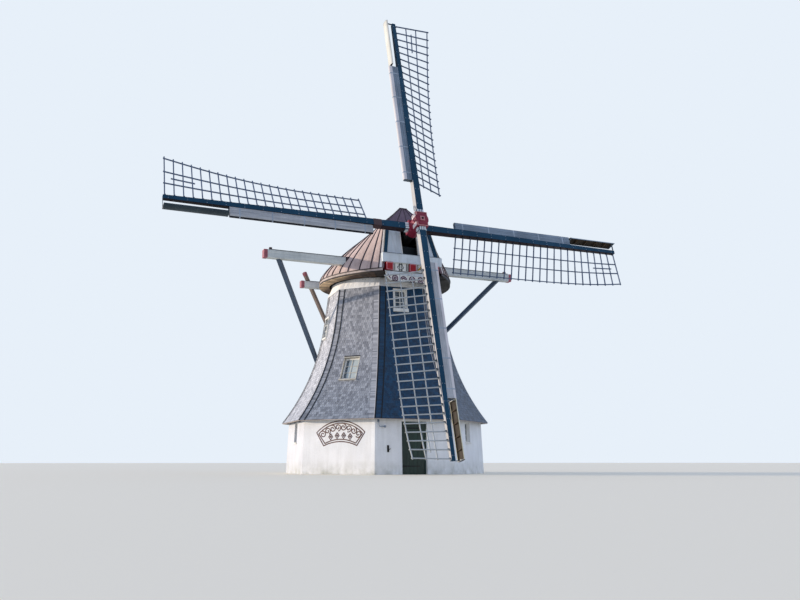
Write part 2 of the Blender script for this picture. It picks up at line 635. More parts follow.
SLATES = slate_finish()
UNDERLAY = finish("smock_boards", "2b3036", "1c2024", 0.9, grain=0.3, dark="16181b", along="z")
LEAD = finish("lead_strips", "121a24", "2c343d", 0.6, patches=0.4, specular=0.3)
PALE_EDGE = finish("slate_edging", "c8c6c6", "8e8c8a", 0.7, patches=0.4)
FACES = ("front", "right_front", "right", "right_back", "back", "left_back", "left", "left_front")
SLATE_W, SLATE_DROP, WHOLE_ROW, NARROW_DROP, EDGING_W = 0.105, 0.118, 6.0, 0.055, 0.016
STRIP_W, LEAD_W = 0.25, 0.048
for k, name in enumerate(FACES):
    size = {0: HIGH_WINDOW, 4: HIGH_WINDOW, 3: LOW_WINDOW, 7: LOW_WINDOW}.get(k)
    middle = size and float(np.interp(-size[2], -drop_z, drop_s))
    hole = size and (size[0] / 2 + 0.03, size[1] / 2 + 0.03, middle, size[3])
    field = slates(k, lambda h: -h + STRIP_W + LEAD_W, lambda h: h - STRIP_W, SLATE_W, SLATE_DROP, hole)
    beside = [slates(k, left, right, WHOLE_ROW, NARROW_DROP, half_bond=False) for left, right in
              ((lambda h: -h + LEAD_W, lambda h: -h + STRIP_W),
               (lambda h: h - STRIP_W + 0.006, lambda h: h - EDGING_W))]
    parts = [blocks(c) for c in (field, *beside)]
    fades = (FADE[k], FADE[k], FADE[k] + (0.15 if k == 7 else 0.0))
    fades = np.concatenate([np.full(len(part[0]), fade) for part, fade in zip(parts, fades)])
    piece("slates_" + name, parts, SLATES, "tower", marks={"fade": fades})
    piece("lead_" + name, [strip(k, lambda h: -h, lambda h: -h + LEAD_W),
                           strip(k, lambda h: -h + STRIP_W, lambda h: -h + STRIP_W + LEAD_W)],
          LEAD, "tower")
    dress(UNDERLAY, "smock_wall_" + name)
piece("slate_edging", [strip(k, lambda h: h - EDGING_W, lambda h: h + 0.004, 0.028) for k in range(8)],
      PALE_EDGE, "tower")

# Drip boards: a tan softwood board on each side, nailed flat under the slates' lower edge, where it
# throws the rain clear of the white wall.

eave_out = float(smock_out(BASE_H))
eave_half = eave_out * math.tan(math.pi / 8)
drips = ranges(-eave_half, eave_half, eave_out - 0.05, eave_out + 0.004, 2.125, 2.152)
piece("drip_boards", [blocks(to_face(k, drips)) for k in range(8)],
      finish("drip_boards", "cbbfb6", "4f433c", 0.8, grain=0.4, dark="5e4c42"), "tower",
      bevel=0.004)

# Windows in the slates: deep wooden boxes that follow the slope, with a head board, a sill that
# stands proud and small panes. The lower ones are cream and weathered, the upper ones white.

CREAM_PAINT = finish("cream_paint", "c4bfb2", "857862", 0.6, patches=0.3, runs=0.4, specks=0.25, grain=0.3,
                     dark="8f846e")
SHEEN = finish("pane_sheen", "b9c2bf", "8d9694", 0.3, patches=0.4)


def on_slates(k, size, boxes):
    """Boxes on side k in the frame of a window of this size: right from its middle, out along the
    slates' normal, up the slope."""
    width, height, z, aside = size
    right, out, up = face_axes(k)
    slope = float(smock_slope(z))
    axes = np.array([right, out * math.cos(slope) + up * math.sin(slope),
                     up * math.cos(slope) - out * math.sin(slope)])
    return [blocks((c + [aside, 0.0, 0.0]) @ axes + on_face(k, 0.0, smock_out(z), z)) for c in boxes]


def slate_window(k, size, inset, trim, sill):
    """Bars, head, cheeks and sill of a window whose frame lies inset behind the slates."""
    half_w, half_h = size[0] / 2, size[1] / 2
    bars = [c - [0.0, inset, 0.0] for c in glazing(size[0], size[1], 0.03)]
    bars += [ranges(-half_w - trim, half_w + trim, -0.05, 0.055, half_h - 0.005, half_h + trim),
             ranges([-half_w - trim, half_w - 0.005], [-half_w + 0.005, half_w + trim], -0.05, 0.035,
                    -half_h, half_h),
             ranges(-half_w - 1.6 * trim, half_w + 1.6 * trim, -0.05, 0.085, -half_h - sill,
                    -half_h + 0.004)]
    return on_slates(k, size, bars)


gleam = ranges(-0.17, 0.283, -0.088, -0.084, -0.438, 0.438)
for k in (3, 7):
    piece("low_window_" + FACES[k], slate_window(k, LOW_WINDOW, 0.06, 0.035, 0.05), CREAM_PAINT, "tower",
          bevel=0.005)
    piece("low_sheen_" + FACES[k], on_slates(k, LOW_WINDOW, [gleam]), SHEEN, "tower")
for k in (0, 4):
    piece("high_window_" + FACES[k], slate_window(k, HIGH_WINDOW, 0.02, 0.045, 0.13), WHITE_PAINT, "tower",
          bevel=0.005)

# Window on the left side: seen only from its edge, a white wooden frame fixed on the slates, with
# dark panes behind its bars.

LEFT_WINDOW = (0.60, 0.92, 6.24, -0.35)
half_w, half_h = LEFT_WINDOW[0] / 2, LEFT_WINDOW[1] / 2
left_frame = [ranges([-half_w, half_w - 0.05], [-half_w + 0.05, half_w], -0.01, 0.085, -half_h, half_h),
              ranges(-half_w - 0.02, half_w + 0.02, -0.01, 0.10, [half_h - 0.05, -half_h - 0.04],
                     [half_h + 0.02, -half_h + 0.03])]
left_frame += [c + [0.0, 0.07, 0.0] for c in glazing(LEFT_WINDOW[0], LEFT_WINDOW[1], 0.03)]
piece("left_window_frame", on_slates(6, LEFT_WINDOW, left_frame), WHITE_PAINT, "tower",
      bevel=0.004)
left_panes = ranges(-half_w + 0.04, half_w - 0.04, 0.024, 0.032, -half_h + 0.02, half_h - 0.02)
piece("left_window_panes", on_slates(6, LEFT_WINDOW, [left_panes]),
      finish("dark_panes", "2a3440", "1a2028", 0.25), "tower")

# Curb: a skirt of upright white boards round the timber ring on which the cap turns. It starts
# eight-sided on the slates and ends round under the cap, and is nailed near its top edge.

CURB_Z, CURB_CORNER_R, CURB_ROUND_R, CURB_HOLE_R = (7.7002, 8.085), 2.52, 2.29, 2.00
CURB_BOARDS = 8
CURB_WHITE = finish("curb_paint", "faf8f4", "a49d92", 0.55, patches=0.1, runs=0.2, specks=0.1, grain=0.1,
                    dark="cfcac0", tones=0.1)


def curb_ring(k, x, drop=0.0):
    """Points of side k's lower and upper edge: x from -1 to 1 over the side's width, moved in by drop.
    The lower edge is straight and the upper one is round, at the same angle from the axis."""
    apothem = CURB_CORNER_R * K - drop
    right = x * CURB_CORNER_R * math.sin(math.pi / 8)
    angle = np.arctan2(right, CURB_CORNER_R * K)
    r = CURB_ROUND_R - drop
    low = on_face(k, right * (1 - drop / CURB_CORNER_R), apothem, CURB_Z[0])
    return low, on_face(k, r * np.sin(angle), r * np.cos(angle), CURB_Z[1])


def curb_boards(k):
    """Boards side by side on one side of the skirt, 35 mm thick, with 3 mm between them."""
    edges = np.linspace(-1, 1, CURB_BOARDS + 1)
    corners = []
    for drop in (0.035, 0.0):
        low0, high0 = curb_ring(k, edges[:-1] + 0.0015, drop)
        low1, high1 = curb_ring(k, edges[1:] - 0.0015, drop)
        corners += [low0, low1, high1, high0]
    return blocks(np.stack(corners, axis=1))


def curb_core(k):
    """The ring behind the boards on one side, down to the round hole in its middle."""
    x = np.linspace(-1, 1, 7)
    low, high = curb_ring(k, x, 0.034)
    angle = np.arctan2(x * math.sin(math.pi / 8), K)
    hole = [on_face(k, CURB_HOLE_R * np.sin(angle), CURB_HOLE_R * np.cos(angle), z) for z in CURB_Z]
    return loft(np.stack([low, high, hole[1], hole[0]], axis=1))


def curb_nails(k):
    """Two nail heads in each board, near the upper edge."""
    x = (np.arange(2 * CURB_BOARDS) + 0.5) / CURB_BOARDS - 1
    low, high = curb_ring(k, x)
    out = face_axes(k)[1]
    paths = [q + np.outer((-0.004, 0.003, 0.005), out) for q in high + (low - high) * 0.14]
    return [swept(path, round_section(0.008, 6), (0, 0, 1), [1, 1, 0.5]) for path in paths]


skirt = [part for k in range(8) for part in (curb_boards(k), curb_core(k))]
piece("curb_boards", skirt, CURB_WHITE, "tower", stands_for=["curb"])
piece("curb_nails", [nail for k in range(8) for nail in curb_nails(k)], IRON, "tower")

# Cap: a timber shell with a pointed gable, covered with wide strips of brown roofing that run up
# to the peak. Dark rolls cover the joints between the strips.

CAP_R, EAVE_Z, CAP_H, GABLE_HALF = 2.83, 8.27, 2.79, 1.36
TILT = math.radians(16)
LEAN = math.tan(TILT)
GABLE_Y, GABLE_Z = 2.86, 8.69
HEAD_SHARE, HEAD_HALF, RIDGE_HALF, RIDGE_Y, RIDGE_FALL = 0.75, 0.96, 0.15, -2.0, 0.25
HEAD_Z = EAVE_Z + HEAD_SHARE * CAP_H
HEAD_Y = LEAN * (HEAD_Z - GABLE_Z) - GABLE_Y
FELT = finish("roofing_strips", "d8bfb4", "806a64", 0.75, patches=0.3, runs=0.35, specks=0.2, grain=0.3,
              dark="aa9288", tones=0.2, bump=0.005)
FELT_PLAIN = finish("roofing_under", "6f5c60", "463a3c", 0.8)
ROLLS = finish("dark_rolls", "2e2230", "4a3c42", 0.6, patches=0.4)
dress(FELT_PLAIN, "cap_left", "cap_right", "cap_back", "cap_ridge")
dress(finish("cap_timber", "1c2832", "0f161c", 0.8, grain=0.4, dark="121a20", along="y"), "cap_frame",
      "shaft_beams")


def over_head(s):
    """Share of the way from the gable's head up to the ridge, 0 below the head."""
    return np.maximum(0, (s - HEAD_SHARE) / (1 - HEAD_SHARE))


def gable_w(s):
    """Half-width of the cap's front edge at height share s, straight up to the gable's head and
    straight again from there to the ridge."""
    below = GABLE_HALF + (HEAD_HALF - GABLE_HALF) * np.minimum(s / HEAD_SHARE, 1)
    return below + (RIDGE_HALF - HEAD_HALF) * over_head(s)


def cap_point(t, s):
    """The cap's right half. At height share s it runs from the front edge (t = 0) along a curve with
    one control point to the widest place (t = 1), then a quarter circle to the back (t = 2). The
    front edge leans back more over the gable's head, and the ridge falls towards the back."""
    t, s = np.broadcast_arrays(np.asarray(t, float), np.asarray(s, float))
    z = EAVE_Z + s * CAP_H
    r = CAP_R * (1 - 0.95 * s ** 1.3)
    over = over_head(s)
    y = np.where(over > 0, HEAD_Y + (RIDGE_Y - HEAD_Y) * over, LEAN * (z - GABLE_Z) - GABLE_Y)
    u = np.minimum(t, 1.0)
    side_x = (1 - u) ** 2 * gable_w(s) + 2 * u * (1 - u) * 0.965 * r + u ** 2 * r
    side_y = (1 - u) ** 2 * y + 2 * u * (1 - u) * 0.56 * y
    z = z - s * RIDGE_FALL * (u * u + 0.88 * u * (1 - u))
    a = np.maximum(t - 1, 0) * math.pi / 2
    return np.stack([np.where(t < 1, side_x, r * np.cos(a)), np.where(t < 1, side_y, r * np.sin(a)), z], -1)


def cap_frame_at(t, s, step=1e-3):
    """Point, direction along t and outward normal, from differences on both sides."""
    t, s = np.broadcast_arrays(np.asarray(t, float), np.asarray(s, float))
    along = unit(cap_point(np.minimum(t + step, 2), s) - cap_point(np.maximum(t - step, 0), s))
    upward = cap_point(t, np.minimum(s + step, 1)) - cap_point(t, np.maximum(s - step, 0))
    return cap_point(t, s), along, unit(np.cross(along, upward))


def both_sides(points):
    """The points and their mirror image across the cap's middle plane."""
    return points, points * [-1.0, 1.0, 1.0]


STRIP_EDGES = np.array([0.035, 0.135, 0.28, 0.455, 0.60, 0.755, 0.89, 1.0, *(1 + np.arange(1, 10) / 9)])


def roofing_strip(t0, t1, rows=17, across=6):
    """One strip: lifted by 0.014 + 0.014 (1 - (2u - 1)^2) off the shell at share u of its width, and
    ending 20 mm below the shell's edge."""
    s, u = np.meshgrid(np.linspace(0, 1, rows), np.linspace(0, 1, across), indexing="ij")
    p, _, n = cap_frame_at(t0 + (t1 - t0) * u, s)
    outer = p + n * (0.014 + 0.014 * (1 - (2 * u - 1) ** 2))[..., None]
    inner = (p + n * 0.001)[:, ::-1]
    rings = np.concatenate([outer, inner], axis=1)
    rings[0] += (rings[0] - rings[1]) * 0.06
    return rings


def roll(t, rows=25, half=0.026, low=0.002, high=0.050):
    """A joint's roll: a five-sided bar on the shell up the line of constant t, narrower by the top."""
    s = np.linspace(0, 1, rows)
    p, along, n = cap_frame_at(np.full(rows, t), s)
    half = half * np.minimum(1, 0.3 + (1 - s) * 3.5)[:, None]
    section = ((-1, low), (1, low), (1, high - 0.014), (0, high), (-1, high - 0.014))
    return np.stack([p + along * x * half + n * y for x, y in section], axis=1)


spans = zip(STRIP_EDGES[:-1], STRIP_EDGES[1:])
strips = [loft(rings) for t0, t1 in spans for rings in both_sides(roofing_strip(t0, t1))]
piece("roofing_strips", strips, FELT, "cap", smooth=35)
verges = [loft(rings) for rings in both_sides(roofing_strip(0.0, STRIP_EDGES[0], across=4))]
piece("verge_strips", verges, finish("verge_paint", "f8efe8", "8f7c70", 0.6, patches=0.3, runs=0.4,
                                     grain=0.2), "cap", smooth=35)
rolls = [rings for t in STRIP_EDGES[:-1] for rings in both_sides(roll(t))] + [roll(2.0)]
piece("roofing_rolls", [loft(rings) for rings in rolls], ROLLS, "cap", smooth=50)

# Roofing over the gable's head: four strips with rolls between them lean back to the ridge, under a
# dark board on the ridge. A dark band edges the roofing at the eave.

HIP_TILT = math.atan2(RIDGE_Y - HEAD_Y, EAVE_Z + CAP_H - HEAD_Z)
HIP_UP = (EAVE_Z + CAP_H - HEAD_Z) / math.cos(HIP_TILT)


def leaning(tilt, foot_y, foot_z, x, up, out):
    """Points of a plane that leans back by tilt from its foot: right, up its slope, out of it."""
    x, up, out = np.broadcast_arrays(x, up, out)
    y = foot_y + up * math.sin(tilt) - out * math.cos(tilt)
    return np.stack([x, y, foot_z + up * math.cos(tilt) + out * math.sin(tilt)], -1).astype(float)


def on_hip(x, up, out):
    """Points of the plane over the gable's head."""
    return leaning(HIP_TILT, HEAD_Y, HEAD_Z, x, up, out)


def hip_roofing(count=4):
    """Strips 12 mm thick on the board over the head, and a roll over each joint and edge."""
    edges = np.linspace(-1, 1, count + 1)
    foot, top = HEAD_HALF + 0.012, RIDGE_HALF + 0.012
    around = ((edges[:-1], foot, -0.03), (edges[1:], foot, -0.03), (edges[1:], top, HIP_UP),
              (edges[:-1], top, HIP_UP))
    corners = [on_hip(x * w, up, out) for out in (0.049, 0.062) for x, w, up in around]
    section = [[-0.022, -0.01], [0.022, -0.01], [0.0, 0.022]]
    bars = [swept(on_hip(np.array([foot, top]) * x * 0.98, np.array([-0.035, HIP_UP]), 0.062), section,
                  on_hip(0, 0, 1) - on_hip(0, 0, 0)) for x in edges]
    return blocks(np.stack(corners, axis=1)), bars


hip_strips, hip_rolls = hip_roofing()
piece("hip_strips", [hip_strips], finish("hip_roofing", "86707e", "54445a", 0.75, patches=0.4, grain=0.3),
      "cap", bevel=0.004)
piece("hip_rolls", hip_rolls, ROLLS, "cap")
ridge = cap_point(np.linspace(0, 1, 9), 1.0) + [0.0, 0.0, 0.059]
cover = np.stack([ridge * [side, 1, 1] + [side * 0.02, 0, lift]
                  for side, lift in ((-1, 0), (1, 0), (1, 0.03), (-1, 0.03))], axis=1)
cover[0, :, 1] -= 0.05
piece("crown_board", [loft(cover)], finish("crown_board", "4f3b4a", "2c2028", 0.6, patches=0.4), "cap",
      bevel=0.006)


def eave_band(count=40):
    """A band along the eave on one side, over the edge of the rim board below the roofing."""
    p, _, n = cap_frame_at(np.linspace(0.0, 2, count), 0.0)
    out = unit(n * [1.0, 1.0, 0.0])
    rows = ((0.002, -0.022), (0.040, -0.022), (0.044, 0.010), (0.002, 0.010))
    return np.stack([p + out * x + [0.0, 0.0, z] for x, z in rows], axis=1)


piece("eave_edge", [loft(rings) for rings in both_sides(eave_band())],
      finish("eave_edge", "3d3130", "1f1a1a", 0.7, patches=0.5, grain=0.4, dark="262020"), "cap",
      smooth=40)

# Soffit: a tan rim board below the roofing's edge, and softwood boards nailed like spokes under the
# overhanging eave, weathered more in some places. Soft tones deepen the shade under the cap.


def shaded(material, axis, span, colour):
    """Darkens a finished material by a colour that grows over a span of the object's axis."""
    tree = material.node_tree
    place = add_node(tree, "TexCoord").outputs["Object"]
    return overlaid(material, along_axis(tree, place, axis, *span), colour, "MULTIPLY")


SOFFIT = finish("soffit_boards", "ffdeb2", "8a6a48", 0.75, patches=0.35, runs=0.1, specks=0.2, grain=0.45,
                dark="b98f60", tones=0.75)
shaded(SOFFIT, 0, (-2.62, -2.2), "5c4c40")
shaded(SOFFIT, 0, (-1.2, 1.4), "50627c")
RIM = finish("rim_board", "c2b2aa", "5a4c44", 0.8, patches=0.45, runs=0.4)
shaded(RIM, 2, (8.178, 8.164), "3a3028")
dress(shaded(RIM, 0, (0.0, 1.6), "6c7c92"), "cap_soffit")
SPOKES, SPOKE_FROM, RIM_Z, RIM_OUT = 84, 2.42, 8.10, 0.025
eave = cap_point(np.linspace(0.0, 2, 60), 0.0)
eave = np.concatenate([eave, eave[-2::-1] * [-1, 1, 1]])
eave_angle = np.arctan2(eave[:, 0], -eave[:, 1])
eave_r = np.hypot(eave[:, 0], eave[:, 1])[np.argsort(eave_angle)]
eave_angle = np.sort(eave_angle)


def soffit_boards():
    """Boards 15 mm thick under the soffit, out to the rim, with 12 mm between them."""
    turn = 2 * math.pi / SPOKES
    a = np.arange(SPOKES) * 2 * math.pi / SPOKES - math.pi
    corners = []
    for drop in (0.001, 0.016):
        for far, side in ((0, 0.0022), (0, turn - 0.0022), (1, turn - 0.0022), (1, 0.0022)):
            rim = np.interp(a + side, eave_angle, eave_r, period=2 * math.pi) + RIM_OUT - 0.004
            r = rim if far else SPOKE_FROM
            corners.append(np.stack([r * np.sin(a + side), -r * np.cos(a + side),
                                     np.full(SPOKES, RIM_Z - drop)], -1))
    corners = np.stack(corners, axis=1)
    x, y, _ = corners.mean(1).T
    under_gable = (y <= -2.3) & (np.abs(x) <= 1.35)
    at_tail = (np.abs(x) < 0.3) & (y > 0)
    return corners[~(under_gable | at_tail)]


piece("soffit_boards", [blocks(soffit_boards())], SOFFIT, "cap")

# Gable: upright white boards on the leaning front of the cap, beside the dark opening for the
# shaft, between barge boards in dark teal with a thin cream edge.

OPENING_HALF, OPENING_UP = 0.38, 1.60
BEAM_TOP, BEAM_HALF, BEAM_Y = 8.91, 1.33, -3.0
GABLE_FOOT = (BEAM_TOP - GABLE_Z) / math.cos(TILT)
GABLE_TOP = (HEAD_Z - GABLE_Z) / math.cos(TILT)
HEAD_BOARD, BARGE_W = 0.10, 0.17
WHITE_BOARDS = finish("white_boards", "dfe7ea", "8f8a80", 0.55, patches=0.25, runs=0.35, specks=0.15,
                      grain=0.15, dark="b5b0a6", tones=0.12)
TEAL = "063c56"
TEAL_BOARDS = finish("teal_boards", TEAL, "0a2331", 0.6, patches=0.3, runs=0.25, grain=0.2, dark="0b3347",
                     along="z", specular=0.25)
dress(TEAL_BOARDS, "barge_boards")
dress(WHITE_PAINT, "cap_gable")


def gable_half(up):
    """Half-width of the cap's front edge at a height up the gable's slope."""
    return gable_w((np.asarray(up) * math.cos(TILT) + GABLE_Z - EAVE_Z) / CAP_H)


def on_gable(x, up, out):
    """Points of the gable's plane."""
    return leaning(TILT, -GABLE_Y, GABLE_Z, x, up, out)


def gable_boards(count=6):
    """Boards beside the opening and over it, from the beam up to the head board. Their edges lean in
    with the barge boards, and the innermost edge is upright at the opening."""
    top = GABLE_TOP - HEAD_BOARD
    share = np.linspace(0, 1, count // 2 + 1)
    corners = []
    for side in (-1, 1):
        for out in (-0.005, 0.014):
            for i, up in ((0, GABLE_FOOT), (1, GABLE_FOOT), (1, top), (0, top)):
                x = OPENING_HALF + (gable_half(up) + 0.01 - BARGE_W - OPENING_HALF) * share
                x = x[:-1] + 0.003 if i == 0 else x[1:] - 0.003
                corners.append(on_gable(side * x, up, out))
    corners = np.stack(corners, axis=1)
    over = ranges([-OPENING_HALF, 0.003], [-0.003, OPENING_HALF], OPENING_UP, top, -0.005, 0.014)
    return np.concatenate([corners[:, :8], corners[:, 8:], on_gable(*np.moveaxis(over, -1, 0))])


piece("gable_boards", [blocks(gable_boards())], WHITE_BOARDS, "cap")
dark_line = ranges(-BEAM_HALF + 0.05, BEAM_HALF - 0.05, BEAM_Y + 0.02, -2.74, BEAM_TOP, BEAM_TOP + 0.022)
piece("gable_dark_line", [blocks(dark_line)], finish("dark_line", "22323c", "10181d", 0.6), "cap")
jambs = ranges([-OPENING_HALF - 0.012, OPENING_HALF - 0.03], [-OPENING_HALF + 0.03, OPENING_HALF + 0.012],
               GABLE_FOOT, OPENING_UP, -0.06, 0.024)
piece("opening_jambs", [blocks(on_gable(*np.moveaxis(jambs, -1, 0)))], WHITE_PAINT, "cap",
      bevel=0.004)
lath_up = np.array([GABLE_FOOT + 0.01, GABLE_TOP - 0.01])
lath_section = [[-0.010, -0.012], [0.010, -0.012], [0.010, 0.012], [-0.010, 0.012]]
laths = [swept(on_gable(side * (gable_half(lath_up) + 0.004), lath_up, 0.052), lath_section,
               on_gable(0, 0, 1) - on_gable(0, 0, 0)) for side in (-1, 1)]
piece("barge_edges", laths, CREAM_PAINT, "cap")

# Front beam and blocks: a white beam across the gable's foot rests on three bright red blocks, the
# ends of the beams under the shaft. White boards between them carry dark carving.

RED = finish("bright_red", "a00c18", "5a0c12", 0.45, patches=0.25, runs=0.2, specks=0.1, grain=0.15,
             dark="8c1018", specular=0.3)
DARK_CARVING = finish("dark_carving", "1c2830", "0f161b", 0.5)
BEAM_FOOT, BLOCK_FOOT, BLOCK_X, PANEL_Y = 8.54, 8.21, np.array([-1.03, 0.0, 1.03]), -2.93
TOWARDS_FRONT = (0.0, -1.0, 0.0)
beam_section = [(BEAM_Y, BEAM_FOOT), (LEAN * (BEAM_FOOT - GABLE_Z) - GABLE_Y, BEAM_FOOT),
                (LEAN * (BEAM_TOP - GABLE_Z) - GABLE_Y, BEAM_TOP), (BEAM_Y, BEAM_TOP)]
beam = loft([[(x, y, z) for y, z in beam_section] for x in (-BEAM_HALF, BEAM_HALF)])
lath = ranges(-1.28, 1.28, -3.012, -2.998, [8.545, 8.872], [8.572, 8.902])
piece("front_beam_timber", [beam, blocks(lath)], WHITE_BOARDS, "cap", bevel=0.008,
      stands_for=["front_beam"])
red_blocks = ranges(BLOCK_X - 0.15, BLOCK_X + 0.15, -3.025, -2.625, BLOCK_FOOT, BEAM_FOOT)
piece("red_blocks", [blocks(red_blocks)], RED, "cap", bevel=0.014, stands_for=["beam_blocks"])
face_frames = [ranges(BLOCK_X + a, BLOCK_X + b, -3.034, -3.022, c, d)
               for a, b, c, d in ((-0.14, 0.14, 8.500, 8.528), (-0.14, 0.14, 8.222, 8.238),
                                  (-0.14, -0.122, 8.238, 8.500), (0.122, 0.14, 8.238, 8.500))]
piece("block_faces", [blocks(c) for c in face_frames], finish("pink_edges", "d8949a", "8a4a4c", 0.5), "cap")
dress(WHITE_PAINT, "carved_panels")


def upright(points, y):
    """Points of an upright plane facing the front: right and height, at a distance y."""
    return np.stack([points[:, 0], np.full(len(points), y), points[:, 1]], -1)


def carving(centre):
    """Slats at both sides of a panel and a curled rosette in its middle."""
    slats = np.array([-0.33, -0.26, 0.26, 0.33]) + centre
    parts = [blocks(ranges(slats - 0.014, slats + 0.014, PANEL_Y - 0.012, PANEL_Y, 8.23, 8.52))]
    flat = [[-0.013, 0.0], [-0.008, 0.012], [0.008, 0.012], [0.013, 0.0]]
    for hand in (-1, 1):
        for z, size in ((8.375, 0.075), (8.265, 0.042), (8.485, 0.042)):
            path = curl(centre + hand * size * 1.25, z, size, 1.3 * hand, math.pi / 2)
            parts.append(swept(upright(path, PANEL_Y), flat, TOWARDS_FRONT))
    return parts


piece("panel_carving", carving(-0.515) + carving(0.515), DARK_CARVING, "cap", smooth=40)
leaf = upright(np.array([[0.20, 8.25], [0.27, 8.31], [0.35, 8.40], [0.42, 8.50]]), -2.935)
leaf_section = [[-0.035, 0.0], [0.0, 0.03], [0.035, 0.0], [0.0, -0.01]]
piece("gilt_leaf", [swept(leaf, leaf_section, TOWARDS_FRONT, [0.4, 1, 1, 0.3])],
      finish("gilt_paint", "c9a24c", "6e5626", 0.4), "cap", smooth=30)

# Beard: a white board under the blocks, with cut-off lower corners and raised panels over a row of
# painted double rings and double arcs in plum brown. A dark moulding runs along its upper edge.

dress(WHITE_PAINT, "beard_board")
BEARD_TOP, BEARD_FOOT = BLOCK_FOOT, 7.775
RAISED_X, RAISED_W = np.array([-1.12, -0.555, 0.01, 0.575]), 0.545
raised = ranges(RAISED_X, RAISED_X + RAISED_W, PANEL_Y - 0.014, PANEL_Y, 8.045, 8.175)
piece("beard_panels", [blocks(raised)], WHITE_BOARDS, "cap", bevel=0.006)
mouldings = ranges([-1.19, -0.93], [1.19, 0.93], PANEL_Y - 0.02, PANEL_Y, [BEARD_TOP - 0.022, BEARD_FOOT],
                   [BEARD_TOP - 0.002, 7.80])
piece("beard_mouldings", [blocks(mouldings)], DARK_CARVING, "cap")


def beard_scrolls():
    """Double rings and double arcs along the board, and a leaf's stroke at each end."""
    flat = [[-0.024, 0.0], [-0.017, 0.012], [0.017, 0.012], [0.024, 0.0]]
    ring = (np.linspace(0, 2 * math.pi, 25), 7.905, (0.115, 0.045))
    arc = (np.linspace(0.1, math.pi - 0.1, 13), 7.86, (0.135, 0.07))
    parts = []
    for x, (a, z, sizes) in ((-0.76, ring), (-0.38, arc), (0.0, ring), (0.38, ring), (0.76, arc)):
        for size in sizes:
            path = np.stack([x + size * np.cos(a), z + size * np.sin(a)], -1)
            parts.append(swept(upright(path, PANEL_Y), flat, TOWARDS_FRONT))
    for side in (-1, 1):
        stroke = np.array([[1.13, 8.12], [1.06, 8.04], [1.01, 7.95], [0.95, 7.87]]) * [side, 1]
        parts.append(swept(upright(stroke, PANEL_Y), flat, TOWARDS_FRONT, [0.4, 1.2, 1.2, 0.4]))
    return parts


piece("beard_scrolls", beard_scrolls(), finish("plum_paint", "5c2c50", "33202f", 0.5), "cap",
      smooth=40)

# Cross beams: two long timbers through the cap that take the braces' pull. They are painted pale
# grey and weathered, with red ends, an oak peg at each brace, and a dark collar where they leave
# the roofing.

GREY_BEAMS = finish("grey_beams", "e2e6e0", "6d7880", 0.65, patches=0.3, runs=0.15, specks=0.22, grain=0.45,
                    dark="98a3aa")
BEAM_ENDS = finish("beam_ends", "a85c68", "6d3a40", 0.55, patches=0.45, grain=0.3, dark="7c4048")
MAROON = finish("maroon_paint", "3f2730", "22161b", 0.5, patches=0.4)


def chamfered(width, height, cut=0.012):
    """A rectangle's outline with its corners cut off."""
    w, h = width / 2, height / 2
    return np.array([[-w + cut, -h], [w - cut, -h], [w, -h + cut], [w, h - cut], [w - cut, h],
                     [-w + cut, h], [-w, h - cut], [-w, -h + cut]])


def timber(p, q, width, height, cut=0.012, up=(0.0, 0.0, 1.0)):
    """A squared timber from p to q with its edges and ends chamfered."""
    p, q = np.array(p, float), np.array(q, float)
    way = unit(q - p)
    inner = 1 - 2 * cut / max(width, height)
    path = [p, p + way * cut, p + (q - p) * 0.5, q - way * cut, q]
    return swept(path, chamfered(width, height, cut), up, [inner, 1, 1, 1, inner])


BEAMS = {"long_beam": (5.75, -1.1, 8.83, 0.30, 0.33, 1.99, 2.3),
         "short_beam": (3.17, 2.2, 8.45, 0.26, 0.30, 1.50, 1.7)}
PEG_X, PEG_Z, PEG_W = 5.45, (8.70, 9.115), 0.12
for name, (half, y, z, w, h, *_) in BEAMS.items():
    piece(name + "_timber", [timber((-half + 0.1, y, z), (half - 0.1, y, z), w, h)], GREY_BEAMS, "cap",
          stands_for=[name])
    ends = [timber((side * (half - 0.16), y, z), (side * half, y, z), w + 0.006, h + 0.006)
            for side in (-1, 1)]
    piece(name + "_ends", ends, BEAM_ENDS, "cap")
pegs = [timber((x, -1.1, PEG_Z[0]), (x, -1.1, PEG_Z[1]), PEG_W, PEG_W, up=(1.0, 0.0, 0.0))
        for x in (-PEG_X, PEG_X)]
piece("beam_pegs", pegs, MAROON, "cap")
collars, covers = [], []
for side in (-1, 1):
    for half, y, z, w, h, collar_x, cover_x in BEAMS.values():
        collars.append(((side * collar_x, y, z), (side * (collar_x + 0.28), y, z), w + 0.05, h + 0.05))
        covers.append([side, 1, 1] * ranges(-half + 0.2, -cover_x, y - w / 2 - 0.012, y + w / 2 + 0.012,
                                            z + h / 2 - 0.002, z + h / 2 + 0.016))
piece("beam_collars", [timber(*collar) for collar in collars], ROLLS, "cap")
piece("beam_covers", [blocks(cover) for cover in covers], finish("beam_covers", "2f3f4b", "18222a", 0.6),
      "cap")

# Tail: a heavy pole down the back with four braces from the cross beams, by which the cap is
# turned. Iron bands hold the braces, and a hand winch sits at its foot.

DARK_TIMBER = finish("dark_timber", "4c6076", "2c3a48", 0.55, patches=0.45, runs=0.3, specks=0.15,
                     grain=0.4, dark="32455a")
POLE_TOP, POLE_FOOT = np.array([0.0, 2.455, 8.45]), np.array([0.0, 5.56, 0.60])
LONG_TOP, LONG_FOOT_Z = np.array([5.14, -1.1, 8.765]), 2.12
SHORT_TOP, SHORT_FOOT_Z = np.array([3.00, 2.19, 9.0]), 4.6
DRUM_Y, DRUM_Z, DRUM_R = 5.72, 1.05, 0.118


def pole_side(side, z):
    """The point beside the pole at height z where a brace ends."""
    t = (z - POLE_FOOT[2]) / (POLE_TOP[2] - POLE_FOOT[2])
    return POLE_FOOT + t * (POLE_TOP - POLE_FOOT) + [side * 0.15, 0.0, 0.0]


